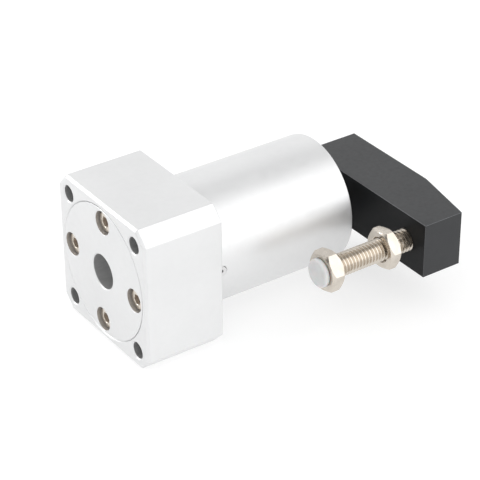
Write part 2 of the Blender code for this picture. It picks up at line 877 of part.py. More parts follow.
def snap_ring():
    """An internal snap ring, open at the top, with a pierced ear each side of the gap."""
    gap = math.radians(11)
    ear = gap + math.radians(13)
    outer_r = SNAP_GROOVE_R - 0.2
    outline = (
        arc(outer_r, gap, TAU - gap, ROUND)
        + arc(SNAP_EAR_R, TAU - gap, TAU - ear, 3)
        + arc(SNAP_RING_INNER_R, TAU - ear, ear, ROUND)
        + arc(SNAP_EAR_R, ear, gap, 3)
    )
    hole_circle_r = (SNAP_EAR_R + SNAP_RING_INNER_R) / 2 + 0.4
    holes = []
    for middle in ((gap + ear) / 2, TAU - (gap + ear) / 2):
        x, y = arc(hole_circle_r, middle, middle, 1)[0]
        holes.append([(x + hx, y + hy) for hx, hy in arc(SNAP_EAR_HOLE_R, 0, TAU, 10)[:-1]])
    start, end = SNAP_GROOVE[0] + 0.1, SNAP_GROOVE[1] - 0.1
    at = ((start + end) / 2, 0, 0)
    flat_plate("gland_snap_ring", [outline, *holes], end - start, "steel", at, "+X")


# ---------------------------------------------------------------- arm


def arm_bore_cutter():
    """The rod's seat, the web that the screw clamps, and the counterbore for its head."""
    return turned(
        "cut_arm_bore",
        [
            (ARM_INNER - 1, 0),
            (ARM_INNER - 1, ARM_NOSE_HOLE_R),
            (ARM_WEB[0], ARM_NOSE_HOLE_R),
            (ARM_WEB[0], ARM_WEB_HOLE_R),
            (ARM_WEB[1], ARM_WEB_HOLE_R),
            (ARM_WEB[1], ARM_COUNTERBORE_R),
            (ARM_OUTER + 1, ARM_COUNTERBORE_R),
            (ARM_OUTER + 1, 0),
        ],
    )


def clamp_arm():
    outline = [
        (ARM_INNER, ARM_ROOT_Y),
        (ARM_OUTER, ARM_ROOT_Y),
        (ARM_OUTER, ARM_KNEE_Y),
        (ARM_TIP_OUTER, ARM_TIP_Y),
        (ARM_INNER, ARM_TIP_Y),
    ]
    arm = flat_plate("clamp_arm", [outline], 2 * ARM_HALF_WIDTH, "black_arm")
    bevel = arm.modifiers.new("Edges", "BEVEL")
    bevel.width = ARM_EDGE * MM
    bevel.segments = 2
    hole_r = BOLT_R + BOLT_CLEARANCE
    bolt_hole = tube("cut_arm_bolt", 0, hole_r, ARM_INNER - 1, ARM_OUTER + 1, at=(0, BOLT_Y, 0))
    half = KEY_HALF_WIDTH + KEYWAY_GAP
    top = KEY_HEIGHT[1] + KEYWAY_GAP
    keyway = box("cut_arm_keyway", (ARM_INNER - 1, -half, 3), (ARM_WEB[0], half, top))
    cut(arm, arm_bore_cutter(), bolt_hole, keyway)


def arm_fixing():
    """The key, and the washer and socket screw in the counterbore."""
    low, high = KEY_HEIGHT
    box("arm_key", (KEY[0], -KEY_HALF_WIDTH, low), (KEY[1], KEY_HALF_WIDTH, high), "steel")
    tube("arm_washer", ARM_WEB_HOLE_R, ARM_WASHER_R, *ARM_WASHER, "steel", segments=SMALL)
    under, top = ARM_SCREW_HEAD
    edge = 0.2
    screw = turned(
        "arm_screw",
        [
            (ARM_SCREW_START, 0),
            (ARM_SCREW_START, ARM_SCREW_R - edge),
            (ARM_SCREW_START + edge, ARM_SCREW_R),
            (under, ARM_SCREW_R),
            (under, ARM_SCREW_HEAD_R),
            (top - edge, ARM_SCREW_HEAD_R),
            (top, ARM_SCREW_HEAD_R - edge),
            (top, 0),
        ],
        "steel",
        segments=SMALL,
    )
    cut(screw, hexagon("cut_arm_screw_socket", ARM_SCREW_SOCKET, (under + top) / 2, top + 1))


# ---------------------------------------------------------------- clamp bolt


def chamfered_hexagon(name, start, end):
    """A hexagon whose corners are turned down at both ends."""
    at = (0, BOLT_Y, 0)
    obj = hexagon(name, HEX_FLATS, start, end, "nickel", at=at, turn=HEX_TURN)
    corner_r = HEX_FLATS / 2 / math.cos(math.pi / 6) + 0.1
    face_r = HEX_FLATS / 2 - 0.1
    turning = turned(
        f"keep_{name}",
        [
            (start, 0),
            (start, face_r),
            (start + HEX_CORNER_DROP, corner_r),
            (end - HEX_CORNER_DROP, corner_r),
            (end, face_r),
            (end, 0),
        ],
        at=at,
    )
    return boolean(obj, turning, "INTERSECT")


def clamp_bolt():
    at = (0, BOLT_Y, 0)
    start, under = BOLT_HEAD
    chamfer = 0.6
    bolt = chamfered_hexagon("clamp_bolt", start, under)
    shank = turned(
        "join_bolt_shank",
        [
            (under - 1, 0),
            (under - 1, BOLT_R),
            (BOLT_END - chamfer, BOLT_R),
            (BOLT_END, BOLT_R - chamfer),
            (BOLT_END, 0),
        ],
        at=at,
        segments=SMALL,
    )
    boolean(bolt, shank, "UNION")
    cut(bolt, tube("cut_bolt_pad_hole", 0, PAD_HOLE_R, start - 1, PAD_HOLE_END, at=at, segments=SMALL))


def lock_nut():
    start, end = LOCK_NUT
    nut = chamfered_hexagon("lock_nut", start, end)
    hole_r = BOLT_R + BOLT_CLEARANCE
    at = (0, BOLT_Y, 0)
    cut(nut, tube("cut_nut_bore", 0, hole_r, start - 1, end + 1, at=at, segments=SMALL))


def bolt_pad():
    """A plastic cap whose stem snaps into the bolt head."""
    turned(
        "bolt_pad",
        [
            (PAD_FACE, 0),
            (PAD_FACE, PAD_R - 0.6),
            (PAD_FACE + 0.15, PAD_R - 0.2),
            (PAD_FACE + 0.6, PAD_R),
            (PAD_BACK, PAD_R),
            (PAD_BACK, PAD_STEM_R),
            (PAD_STEM_END, PAD_STEM_R),
            (PAD_STEM_END, 0),
        ],
        "plastic",
        at=(0, BOLT_Y, 0),
    )


clear_scene()
PARTS = new_collection("rotary_clamp_cylinder")
CUTTERS = new_collection("cutters")
FRAME = bpy.data.objects.new("mounting_face_centre", None)
PARTS.objects.link(FRAME)
FRAME.location = [value * MM for value in FACE_CENTRE]

barrel_body()
rear_cover()
for index, (y, z) in enumerate(screw_places(), 1):
    cover_screw(index, y, z)
guide_ring()
for index, towards in enumerate(("-Y", "+Y"), 1):
    guide_pin(index, towards)
guide_shaft()
piston()
piston_rings()
piston_rod()
gland()
gland_rings()
snap_ring()
clamp_arm()
arm_fixing()
clamp_bolt()
lock_nut()
bolt_pad()
for part in PARTS.objects:
    if part.type == "MESH":
        smooth(part)
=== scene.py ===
"""Looks of the rotary clamp cylinder: fine meshes, materials, camera and light around its CAD model.

Lengths in the constants are in millimetres. Along x, y and z they start at the middle of the
mounting face, where the rod axis meets it, so x runs along the rod axis towards the arm.
"""

import json
import math

import bmesh
import bpy
from mathutils import Matrix, Vector

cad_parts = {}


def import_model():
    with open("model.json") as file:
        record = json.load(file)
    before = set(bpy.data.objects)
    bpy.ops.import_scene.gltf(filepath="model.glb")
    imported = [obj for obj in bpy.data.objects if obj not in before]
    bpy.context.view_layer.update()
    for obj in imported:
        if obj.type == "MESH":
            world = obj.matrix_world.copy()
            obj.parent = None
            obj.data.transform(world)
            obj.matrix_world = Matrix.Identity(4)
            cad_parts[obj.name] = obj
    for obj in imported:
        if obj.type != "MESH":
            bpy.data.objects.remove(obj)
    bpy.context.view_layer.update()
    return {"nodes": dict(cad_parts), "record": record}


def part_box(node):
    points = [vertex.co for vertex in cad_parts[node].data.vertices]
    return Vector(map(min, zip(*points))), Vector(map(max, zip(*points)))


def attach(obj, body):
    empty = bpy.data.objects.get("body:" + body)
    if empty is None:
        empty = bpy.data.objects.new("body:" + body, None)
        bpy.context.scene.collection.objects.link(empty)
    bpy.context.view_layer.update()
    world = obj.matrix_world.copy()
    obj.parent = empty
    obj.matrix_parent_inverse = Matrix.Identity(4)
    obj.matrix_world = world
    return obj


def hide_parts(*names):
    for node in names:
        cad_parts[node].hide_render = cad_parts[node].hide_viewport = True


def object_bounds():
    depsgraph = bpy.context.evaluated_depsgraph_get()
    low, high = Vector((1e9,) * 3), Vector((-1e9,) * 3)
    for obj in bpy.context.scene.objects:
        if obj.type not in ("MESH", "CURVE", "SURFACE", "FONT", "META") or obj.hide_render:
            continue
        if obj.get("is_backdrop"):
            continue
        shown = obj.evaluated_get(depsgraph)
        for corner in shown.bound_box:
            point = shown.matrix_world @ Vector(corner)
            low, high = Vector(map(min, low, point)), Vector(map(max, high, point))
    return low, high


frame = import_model()

MM = 0.001
TAU = 2 * math.pi

# Facets round a piece, from the barrel down to a small hole.
FINE = 144
ROUND = 72
SMALL = 48
TINY = 24

# Depth of an ISO thread for each mm of its pitch.
THREAD_DEPTH = 0.6134

# Local +Z of a turned or extruded piece, laid along a direction of the model.
TOWARDS = {
    "+X": Matrix.Rotation(math.pi / 2, 4, "Y"),
    "-X": Matrix.Rotation(-math.pi / 2, 4, "Y"),
    "+Y": Matrix.Rotation(-math.pi / 2, 4, "X"),
    "-Y": Matrix.Rotation(math.pi / 2, 4, "X"),
    "+Z": Matrix.Identity(4),
}


# ---------------------------------------------------------------- places from the CAD model


def face_centre():
    """Where the rod axis meets the mounting face, in metres."""
    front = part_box("barrel_body")[0][0]
    low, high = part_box("piston_rod")
    return Vector((front, (low[1] + high[1]) / 2, (low[2] + high[2]) / 2))


ORIGIN = face_centre()


def span(node, axis):
    """Where a CAD node starts and ends along an axis, in mm from the face's centre."""
    index = "xyz".index(axis)
    low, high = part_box(node)
    return (low[index] - ORIGIN[index]) / MM, (high[index] - ORIGIN[index]) / MM


def middle(node, axis):
    """The middle of a CAD node along an axis, in mm from the face's centre."""
    return sum(span(node, axis)) / 2


def radius_of(node):
    """Radius of a node that is round about the rod axis or about a line along it."""
    low, high = span(node, "z")
    return (high - low) / 2


def world(x, y=0.0, z=0.0):
    """The place in the world, in metres, of a point given in mm from the face's centre."""
    return ORIGIN + Vector((x, y, z)) * MM


# ---------------------------------------------------------------- materials


def new_material(name, colour, roughness, metallic=0.0, **sockets):
    """A Principled material. Returns its node tree, its shader and the material.

    colour and roughness are plain values, which blotch and roughen then vary with noise."""
    material = bpy.data.materials.new(name)
    material.use_nodes = True
    tree = material.node_tree
    shader = tree.nodes["Principled BSDF"]
    shader.inputs["Base Color"].default_value = (*colour, 1)
    shader.inputs["Roughness"].default_value = roughness
    shader.inputs["Metallic"].default_value = metallic
    for socket, value in sockets.items():
        shader.inputs[socket.replace("_", " ")].default_value = value
    return tree, shader, material


def noise(tree, per_mm, stretch=(1, 1, 1), detail=3.0):
    """Noise in the object's own coordinates, with so many features to a millimetre."""
    place = tree.nodes.new("ShaderNodeTexCoord")
    mapping = tree.nodes.new("ShaderNodeMapping")
    mapping.inputs["Scale"].default_value = [s * per_mm / MM for s in stretch]
    texture = tree.nodes.new("ShaderNodeTexNoise")
    texture.inputs["Scale"].default_value = 1.0
    texture.inputs["Detail"].default_value = detail
    tree.links.new(place.outputs["Object"], mapping.inputs["Vector"])
    tree.links.new(mapping.outputs["Vector"], texture.inputs["Vector"])
    return texture.outputs["Fac"]


def spread(tree, value, low, high):
    """Maps noise onto the range from low to high."""
    ramp = tree.nodes.new("ShaderNodeMapRange")
    ramp.inputs["From Min"].default_value = 0.3
    ramp.inputs["From Max"].default_value = 0.7
    ramp.inputs["To Min"].default_value = low
    ramp.inputs["To Max"].default_value = high
    tree.links.new(value, ramp.inputs["Value"])
    return ramp.outputs["Result"]


def blotch(tree, shader, value, dark, light):
    """Varies the base colour between two tones."""
    mix = tree.nodes.new("ShaderNodeMix")
    mix.data_type = "RGBA"
    mix.inputs["A"].default_value = (*dark, 1)
    mix.inputs["B"].default_value = (*light, 1)
    tree.links.new(spread(tree, value, 0, 1), mix.inputs["Factor"])
    tree.links.new(mix.outputs["Result"], shader.inputs["Base Color"])


def roughen(tree, shader, value, low, high):
    """Varies the roughness between two values."""
    tree.links.new(spread(tree, value, low, high), shader.inputs["Roughness"])


def bump(tree, shader, value, height_mm):
    """Makes the surface look raised and sunk, by up to a height in mm."""
    node = tree.nodes.new("ShaderNodeBump")
    node.inputs["Strength"].default_value = 1.0
    node.inputs["Distance"].default_value = height_mm * MM
    tree.links.new(value, node.inputs["Height"])
    tree.links.new(node.outputs["Normal"], shader.inputs["Normal"])


def grey(level, warmth=0.0):
    """A grey, a little warm or, with a negative warmth, a little cool."""
    return (level * (1 + warmth), level, level * (1 - warmth))


def anodised_material():
    """Clear anodised aluminium, blasted to a fine satin."""
    tree, shader, material = new_material("anodised", grey(0.76), 0.48, 0.85)
    blotch(tree, shader, noise(tree, 0.05), grey(0.75, -0.004), grey(0.78, -0.004))
    roughen(tree, shader, noise(tree, 0.6), 0.43, 0.53)
    bump(tree, shader, noise(tree, 7.0, detail=2.0), 0.002)
    return material


def hole_shade_material(name, level, warmth=0.0):
    """The dull wall of a hole, painted dark as the shade inside it, with rings left by the drill."""
    tree, shader, material = new_material(name, grey(level, warmth), 0.55, 0.7)
    rings = noise(tree, 2.0, (1, 0.2, 0.2))
    blotch(tree, shader, rings, grey(level * 0.93, warmth), grey(level * 1.07, warmth))
    bump(tree, shader, noise(tree, 5.0), 0.006)
    return material


def machined_material():
    """Turned aluminium with fine feed marks round the axis."""
    tree, shader, material = new_material("machined", grey(0.7), 0.3, 1.0)
    blotch(tree, shader, noise(tree, 0.05), grey(0.66), grey(0.74))
    roughen(tree, shader, noise(tree, 2.0, (0.1, 1, 1)), 0.24, 0.38)
    bump(tree, shader, noise(tree, 6.0, (1, 0.03, 0.03)), 0.004)
    return material


def steel_material():
    """Ground steel with fine lines round the axis."""
    tree, shader, material = new_material("bright_steel", grey(0.56), 0.25, 1.0)
    blotch(tree, shader, noise(tree, 0.08), grey(0.52), grey(0.6))
    roughen(tree, shader, noise(tree, 1.0, (4, 0.2, 0.2)), 0.16, 0.32)
    bump(tree, shader, noise(tree, 8.0, (1, 0.02, 0.02)), 0.002)
    return material


def nickel_material():
    """Nickel plate over cold-formed steel: warm, bright, a little uneven."""
    tree, shader, material = new_material("nickel_plate", (0.65, 0.60, 0.54), 0.18, 1.0)
    blotch(tree, shader, noise(tree, 0.35), (0.60, 0.545, 0.475), (0.70, 0.645, 0.575))
    roughen(tree, shader, noise(tree, 1.0), 0.15, 0.26)
    bump(tree, shader, noise(tree, 1.0), 0.003)
    return material


def black_material(name, gloss, level=0.012):
    """Black coating with a faint orange peel. gloss is its sheen, and level its brightness."""
    tint = (0.93, 0.95, 1, 1)
    tree, shader, material = new_material(
        name, grey(level), 0.34, Specular_IOR_Level=gloss, Specular_Tint=tint
    )
    blotch(tree, shader, noise(tree, 0.09), grey(level * 0.8, -0.03), grey(level * 1.3, -0.03))
    roughen(tree, shader, noise(tree, 0.9), 0.30, 0.40)
    bump(tree, shader, noise(tree, 2.2, detail=4.0), 0.003)
    return material


def pad_material():
    """Milky moulded plastic."""
    tree, shader, material = new_material(
        "pad_plastic", grey(0.62), 0.42, Subsurface_Weight=0.2, Subsurface_Scale=1.0 * MM
    )
    blotch(tree, shader, noise(tree, 0.5), grey(0.58), grey(0.64))
    roughen(tree, shader, noise(tree, 1.5), 0.38, 0.5)
    bump(tree, shader, noise(tree, 1.5), 0.005)
    return material


def rubber_material(name, dark, light):
    """Moulded rubber or polyurethane, between two tones."""
    tree, shader, material = new_material(name, light, 0.6)
    blotch(tree, shader, noise(tree, 0.8), dark, light)
    bump(tree, shader, noise(tree, 3.0), 0.01)
    return material


def bronze_material():
    """Sintered bronze, grainy and a little uneven."""
    tree, shader, material = new_material("bronze", (0.6, 0.4, 0.18), 0.4, 1.0)
    blotch(tree, shader, noise(tree, 2.0), (0.45, 0.29, 0.12), (0.62, 0.42, 0.2))
    roughen(tree, shader, noise(tree, 2.0), 0.3, 0.5)
    return material


def floor_material():
    """A back-lit white table, whose own glow leaves only a trace of a shadow."""
    tree, shader, material = new_material("floor", grey(0.45), 0.8)
    blotch(tree, shader, noise(tree, 0.02), grey(0.44), grey(0.46))
    shader.inputs["Emission Color"].default_value = (1, 1, 1, 1)
    shader.inputs["Emission Strength"].default_value = 0.57
    return material


ANODISED = anodised_material()
# The next four are hole walls painted darker, as the shade inside holes, counterbores and sockets.
HOLE_SHADE = hole_shade_material("drilled", 0.42)
CENTRE_HOLE_SHADE = hole_shade_material("centre_hole_shade", 0.45)
COUNTERBORE_SHADE = hole_shade_material("counterbore_shade", 0.48, 0.06)
SOCKET_SHADE = hole_shade_material("socket", 0.45, 0.15)
MACHINED = machined_material()
STEEL = steel_material()
NICKEL = nickel_material()
BLACK = black_material("black_satin", 0.5)
# A black with less sheen: painted shade for the arm's inner face.
BLACK_SHADED_SIDE = black_material("black_shaded_side", 0.1)
# A lighter, glossier black: painted highlights for the arm's front edges.
BLACK_EDGE_HIGHLIGHT = black_material("black_edge_highlight", 1.0, 0.07)
PAD = pad_material()
RUBBER = rubber_material("rubber", grey(0.015), grey(0.03))
POLYURETHANE = rubber_material("polyurethane", (0.06, 0.10, 0.2), (0.1, 0.16, 0.3))
BRONZE = bronze_material()

SLOT_MATERIALS = {
    "anodised_body": ANODISED,
    "machined_aluminium": MACHINED,
    "bright_steel": STEEL,
    "nickel_plate": NICKEL,
    "black_arm": BLACK,
    "rubber": RUBBER,
    "polyurethane": POLYURETHANE,
    "bronze": BRONZE,
    "pad_plastic": PAD,
}


# ---------------------------------------------------------------- mesh helpers


def add_object(bm, name, place, materials):
    """Turns a bmesh in local mm into an object at a place in the world."""
    bmesh.ops.recalc_face_normals(bm, faces=bm.faces)
    bmesh.ops.scale(bm, vec=(MM, MM, MM), verts=bm.verts)
    mesh = bpy.data.meshes.new(name)
    bm.to_mesh(mesh)
    bm.free()
    for material in materials:
        mesh.materials.append(material)
    obj = bpy.data.objects.new(name, mesh)
    bpy.context.scene.collection.objects.link(obj)
    obj.matrix_world = place
    return obj


def placed(x=0.0, y=0.0, z=0.0, towards="+X"):
    """Where a piece goes whose own origin is at (x, y, z) and whose +Z looks towards a direction."""
    return Matrix.Translation(world(x, y, z)) @ TOWARDS[towards]


def turned(name, profile, place, material, segments=ROUND, ring=False, inside=None):
    """A turned solid. profile holds (distance, radius) pairs along the piece's outside; a ring's
    profile closes on itself. inside is (start, end, material) for a stretch with its own finish."""
    bm = bmesh.new()
    verts = [bm.verts.new((radius, 0, along)) for along, radius in profile]
    pairs = list(zip(verts, verts[1:]))
    if ring:
        pairs.append((verts[-1], verts[0]))
    edges = [bm.edges.new(pair) for pair in pairs]
    bmesh.ops.spin(
        bm, geom=verts + edges, cent=(0, 0, 0), axis=(0, 0, 1), angle=TAU, steps=segments, use_merge=True
    )
    bmesh.ops.remove_doubles(bm, verts=bm.verts, dist=1e-4)
    materials = [material]
    if inside:
        start, end, other = inside
        materials.append(other)
        for face in bm.faces:
            if start < face.calc_center_median().z < end:
                face.material_index = 1
    return add_object(bm, name, place, materials)


def cylinder_profile(start, end, radius):
    """A plain cylinder's profile."""
    return [(start, 0), (start, radius), (end, radius), (end, 0)]


def rounded(points, radii, steps):
    """A convex outline with its corners rounded to the given radii, each in so many steps."""
    outline = []
    for i, radius in enumerate(radii):
        corner = Vector(points[i])
        before = (Vector(points[i - 1]) - corner).normalized()
        after = (Vector(points[(i + 1) % len(points)]) - corner).normalized()
        half = before.angle(after) / 2
        centre = corner + (before + after).normalized() * radius / math.sin(half)
        first = corner + before * radius / math.tan(half) - centre
        turn = math.pi - 2 * half
        side = 1 if before.x * after.y - before.y * after.x < 0 else -1
        for step in range(steps + 1):
            angle = side * turn * step / steps
            x = first.x * math.cos(angle) - first.y * math.sin(angle)
            y = first.x * math.sin(angle) + first.y * math.cos(angle)
            outline.append((centre.x + x, centre.y + y))
    return outline


def lofted(name, sections, place, material):
    """A solid through outlines of equal point counts: sections holds (height, outline)."""
    bm = bmesh.new()
    rings = [[bm.verts.new((x, y, height)) for x, y in outline] for height, outline in sections]
    for near, far in zip(rings, rings[1:]):
        for i in range(len(near)):
            j = (i + 1) % len(near)
            bm.faces.new((near[i], near[j], far[j], far[i]))
    bm.faces.new(rings[0])
    bm.faces.new(rings[-1])
    return add_object(bm, name, place, [material])


def hexagon(flats, turn=0.0):
    """Outline of a hexagon by its size across flats, with a corner at the given angle."""
    corner = flats / 2 / math.cos(math.pi / 6)
    angles = [turn + i * TAU / 6 for i in range(6)]
    return [(corner * math.cos(a), corner * math.sin(a)) for a in angles]


def thread(name, major, pitch, start, end, place, material, ends=(0.0, 0.0), segments=SMALL, ease=0.0):
    """A right-hand ISO thread from start to end. ends gives the depth of the chamfer at each end,
    and ease enlarges the whole thread, for cutting a hole that the plain one runs in."""
    depth = THREAD_DEPTH * pitch
    crest, flank = pitch / 8, pitch * 5 / 16
    steps = [(0, 0), (crest, 0), (crest + flank, -depth), (pitch - flank, -depth)]
    first = math.floor(start / pitch) - 2
    turns = math.ceil((end - start) / pitch) + 5
    bm = bmesh.new()
    rows = []
    for j in range(turns * segments + 1):
        angle = TAU * j / segments
        row = []
        for ahead, drop in steps:
            along = (first + j / segments) * pitch + ahead
            radius = major + ease + drop
            if ends[0]:
                radius = min(radius, major - ends[0] + max(along - start, 0))
            if ends[1]:
                radius = min(radius, major - ends[1] + max(end - along, 0))
            row.append(bm.verts.new((radius * math.cos(angle), radius * math.sin(angle), along)))
        rows.append(row)
    for j, (near, far) in enumerate(zip(rows, rows[1:])):
        for k in range(3):
            bm.faces.new((near[k], far[k], far[k + 1], near[k + 1]))
        if j + 1 + segments < len(rows):
            bm.faces.new((near[3], far[3], rows[j + 1 + segments][0], rows[j + segments][0]))
    for height, normal in ((start, (0, 0, -1)), (end, (0, 0, 1))):
        geom = bm.verts[:] + bm.edges[:] + bm.faces[:]
        bmesh.ops.bisect_plane(bm, geom=geom, plane_co=(0, 0, height), plane_no=normal, clear_outer=True)
        rim = [edge for edge in bm.edges if edge.is_boundary and abs(edge.verts[0].co.z - height) < 1e-4]
        rim = [edge for edge in rim if abs(edge.verts[1].co.z - height) < 1e-4]
        bmesh.ops.holes_fill(bm, edges=rim, sides=0)
    return add_object(bm, name, place, [material])


def combine(obj, tools, operation="DIFFERENCE"):
    """Applies Boolean tools to an object in turn. New faces keep the tool's material."""
    for tool in tools:
        modifier = obj.modifiers.new(tool.name, "BOOLEAN")
        modifier.operation = operation
        modifier.solver = "EXACT"
        modifier.material_mode = "TRANSFER"
        modifier.object = tool
    apply_modifiers(obj)
    for tool in tools:
        bpy.data.objects.remove(tool)
    return obj


def apply_modifiers(obj):
    """Makes what an object's modifiers show its own mesh."""
    graph = bpy.context.evaluated_depsgraph_get()
    mesh = bpy.data.meshes.new_from_object(obj.evaluated_get(graph))
    obj.modifiers.clear()
    obj.data = mesh
    mesh.name = obj.name


def finish_piece(obj, nodes, body, angle=32):
    """Shades a piece, weights its normals by face, hangs it from its body and hides the CAD nodes it
    stands for.
    """
    obj.data.shade_smooth()
    obj.data.set_sharp_from_angle(angle=math.radians(angle))
    weighted = obj.modifiers.new("Normals", "WEIGHTED_NORMAL")
    weighted.keep_sharp = True
    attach(obj, body)
    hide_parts(*nodes)
    return obj


# ---------------------------------------------------------------- base and barrel

BASE_CORNER = 3.6
BASE_LENGTH = 22.4
FRONT_BEVEL = 0.7
REAR_BEVEL = 0.25
BARREL_R = 17.05
BORE_R = 12.5
RECESS = {"radius": 18.18, "depth": 8.15, "chamfer": 0.35}
MOUNT_HOLE = {"radius": 2.2, "offset": 15.15, "chamfer": 0.3}
PORT = {"x": 16.0, "z": 8.0, "major": 2.5, "pitch": 0.8, "depth": 5.5, "orifice": 0.9}
PASSAGE = {"radius": 1.0, "y": 12.4}
PIN_HOLE_R = 1.3
GLAND_SEAT = 52.0
GLAND_SEAT_R = 14.65

# A groove is (start, end, radius).
SNAP_GROOVE = (62.7, 63.9, 15.45)


def octagon(half, corner):
    """The base's outline in (-z, y), a square with its corners cut off."""
    inner = half - corner
    ends = [(half, inner), (inner, half), (-inner, half), (-half, inner)]
    return ends + [(-x, -y) for x, y in ends]


def base_block(half):
    """The base, with a bevel round its front and rear edges and softened long edges."""
    shrink = 2 - math.sqrt(2)
    soft = 0.07
    sections = [
        (0, FRONT_BEVEL + soft),
        (soft, FRONT_BEVEL - soft),
        (FRONT_BEVEL - soft, soft),
        (FRONT_BEVEL + soft, 0),
        (BASE_LENGTH - REAR_BEVEL - soft, 0),
        (BASE_LENGTH - soft, REAR_BEVEL - soft),
        (BASE_LENGTH, REAR_BEVEL + soft),
    ]
    lofts = []
    for x, inset in sections:
        points = octagon(half - inset, BASE_CORNER - shrink * inset)
        lofts.append((x, rounded(points, [0.35] * 8, steps=3)))
    return lofted("machined_body", lofts, placed(), ANODISED)


def barrel_turning(end):
    """The round barrel, with its far edge rounded over."""
    profile = [
        (BASE_LENGTH / 2, 0),
        (BASE_LENGTH / 2, BARREL_R),
        (end - 0.35, BARREL_R),
        (end - 0.15, BARREL_R - 0.05),
        (end - 0.05, BARREL_R - 0.15),
        (end, BARREL_R - 0.35),
        (end, 0),
    ]
    return turned("barrel_turning", profile, placed(), ANODISED, FINE)


def bore_cutter(end):
    """Cover recess, bore, gland seat and snap-ring groove, with broken edges at both mouths."""
    recess_r, recess_end, edge = RECESS["radius"], RECESS["depth"], RECESS["chamfer"]
    start, finish, groove_r = SNAP_GROOVE
    profile = [
        (-1, 0),
        (-1, recess_r + edge + 1),
        (edge, recess_r),
        (recess_end, recess_r),
        (recess_end, BORE_R),
        (GLAND_SEAT, BORE_R),
        (GLAND_SEAT, GLAND_SEAT_R),
        (start, GLAND_SEAT_R),
        (start, groove_r),
        (finish, groove_r),
        (finish, GLAND_SEAT_R),
        (end - 0.3, GLAND_SEAT_R),
        (end + 1, GLAND_SEAT_R + 1.3),
        (end + 1, 0),
    ]
    return turned("bore_cutter", profile, placed(), ANODISED, FINE)


def mount_hole_cutters():
    """Through holes in the base's corners: bright chamfers and walls painted darker as shade."""
    radius, edge = MOUNT_HOLE["radius"], MOUNT_HOLE["chamfer"]
    profile = [
        (-1, 0),
        (-1, radius + edge + 1),
        (edge, radius),
        (BASE_LENGTH - edge, radius),
        (BASE_LENGTH + 1, radius + edge + 1),
        (BASE_LENGTH + 1, 0),
    ]
    inside = (edge, BASE_LENGTH - edge, HOLE_SHADE)
    offset = MOUNT_HOLE["offset"]
    corners = [(y * offset, z * offset) for y in (-1, 1) for z in (-1, 1)]
    return [
        turned(f"mount_hole_{i}", profile, placed(0, y, z), ANODISED, SMALL, inside=inside)
        for i, (y, z) in enumerate(corners)
    ]


def port_cutters(half):
    """Two air ports, threaded, with drilled orifices and the air way from one to the gland painted dark
    as shade.
    """
    floor = half - PORT["depth"]
    minor = PORT["major"] - THREAD_DEPTH * PORT["pitch"]
    mouth = PORT["major"] + 0.15
    tools = []
    for i, (z, orifice_end) in enumerate(((PORT["z"], BORE_R / 2), (-PORT["z"], PASSAGE["y"]))):
        place = placed(PORT["x"], 0, z, "+Y")
        profile = [
            (orifice_end, 0),
            (orifice_end, PORT["orifice"]),
            (floor - 1.2, PORT["orifice"]),
            (floor, minor),
            (half - 0.5, minor),
            (half, mouth),
            (half + 1, mouth + 1),
            (half + 1, 0),
        ]
        inside = (orifice_end - 1, floor, HOLE_SHADE)
        tools.append(turned(f"port_bore_{i}", profile, place, MACHINED, SMALL, inside=inside))
        ends = (floor + 0.2, half + 0.3)
        tools.append(thread(f"port_thread_{i}", PORT["major"], PORT["pitch"], *ends, place, MACHINED))
    way = cylinder_profile(PORT["x"] - 1.5, GLAND_SEAT + 1, PASSAGE["radius"])
    place = placed(0, PASSAGE["y"], -PORT["z"])
    tools.append(turned("air_way", way, place, HOLE_SHADE, TINY))
    return tools


def pin_hole_cutters():
    """Stepped holes through the barrel wall for the guide pins and their plugs."""
    low = span("guide_pin_plug_2", "y")[0]
    radius = radius_of("guide_pin_plug_2") + 0.02
    mouth = BARREL_R - 0.1
    profile = [
        (BORE_R - 2, 0),
        (BORE_R - 2, PIN_HOLE_R),
        (low - 0.2, PIN_HOLE_R),
        (low - 0.2, radius),
        (mouth, radius),
        (mouth + 1, radius + 1),
        (mouth + 1, 0),
    ]
    x = middle("guide_pin_plug_2", "x")
    return [
        turned(f"pin_hole_{i}", profile, placed(x, 0, 0, towards), MACHINED, SMALL)
        for i, towards in enumerate(("-Y", "+Y"))
    ]


def machined_body():
    """The one-piece body: base and barrel, with every bore, port and tapped hole cut."""
    end = span("barrel_body", "x")[1]
    half = span("barrel_body", "y")[1]
    body = combine(base_block(half), [barrel_turning(end)], "UNION")
    tools = [bore_cutter(end)] + mount_hole_cutters() + pin_hole_cutters() + port_cutters(half)
    # Tapped holes for the cover screws, with walls painted darker as the shade inside them.
    for node in COVER_SCREWS:
        hole = cylinder_profile(RECESS["depth"] - 1, span(node, "x")[1] + 1.5, SCREW_BORE_R)
        place = placed(0, middle(node, "y"), middle(node, "z"))
        tools.append(turned(f"tapped_{node}", hole, place, HOLE_SHADE, TINY))
    combine(body, tools)
    finish_piece(body, ["barrel_body"], "barrel")


# ---------------------------------------------------------------- rear cover and its screws

COUNTERBORE_R = 3.15
COUNTERBORE_DEPTH = 4.1
SCREW_BORE_R = 1.75
SCREW_SHANK_R = 1.5
SCREW_HEAD = {"radius": 2.75, "height": 3.0, "socket": 2.5}
CENTRE_HOLE = {"radius": 4.65, "depth": 5.4, "chamfer": 0.25}
COVER_THICK = 8.0
COVER_GROOVE = (9.0, 11.0, 10.6)

# A pocket or hole that is open at one end is (where it stops, radius).
SHAFT_POCKET = (7.6, 5.2)

COVER_SCREWS = [f"cover_screw_{i}" for i in range(1, 5)]
SOCKET_TURN = math.radians(17)
KNURL_DEPTH = 0.08
PLUG = {"radius": 1.5, "pitch": 0.5, "socket": 0.9, "socket_depth": 1.2}


